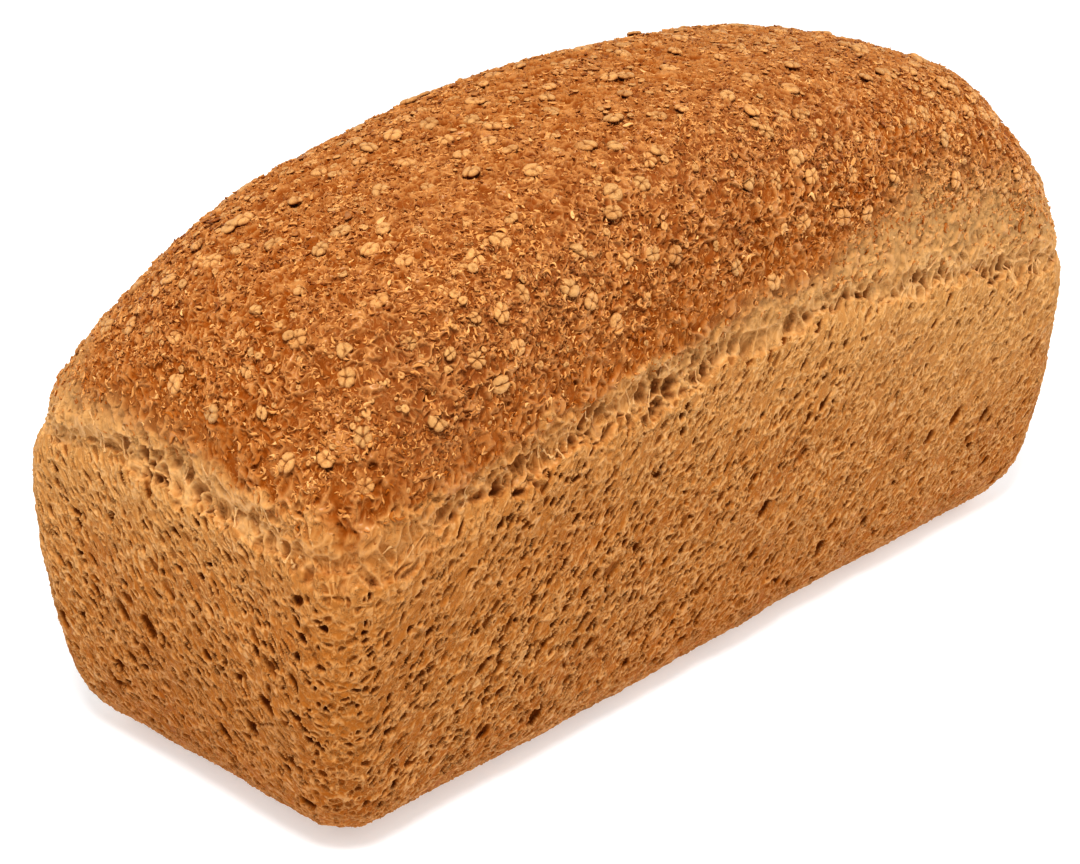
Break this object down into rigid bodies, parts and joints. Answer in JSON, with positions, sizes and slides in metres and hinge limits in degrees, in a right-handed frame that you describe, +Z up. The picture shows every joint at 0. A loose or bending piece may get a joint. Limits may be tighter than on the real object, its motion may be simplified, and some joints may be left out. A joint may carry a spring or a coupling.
{
  "type": "spelt loaf",
  "caption": "Tin-baked spelt loaf with straight pitted walls, a torn break line and a domed crust that carries small flakes.",
  "frame": {"origin": "middle of the loaf's plan, on the flat base that it stands on", "axes": "+Z up, +X along the loaf's length, -Y towards the long side that the loaf is seen from"},
  "size_m": [0.2612, 0.1108, 0.1371],
  "materials": {
    "crust": "matte"
  },
  "bodies": {
    "root": {"loaf": "crust"}
  },
  "joints": []
}
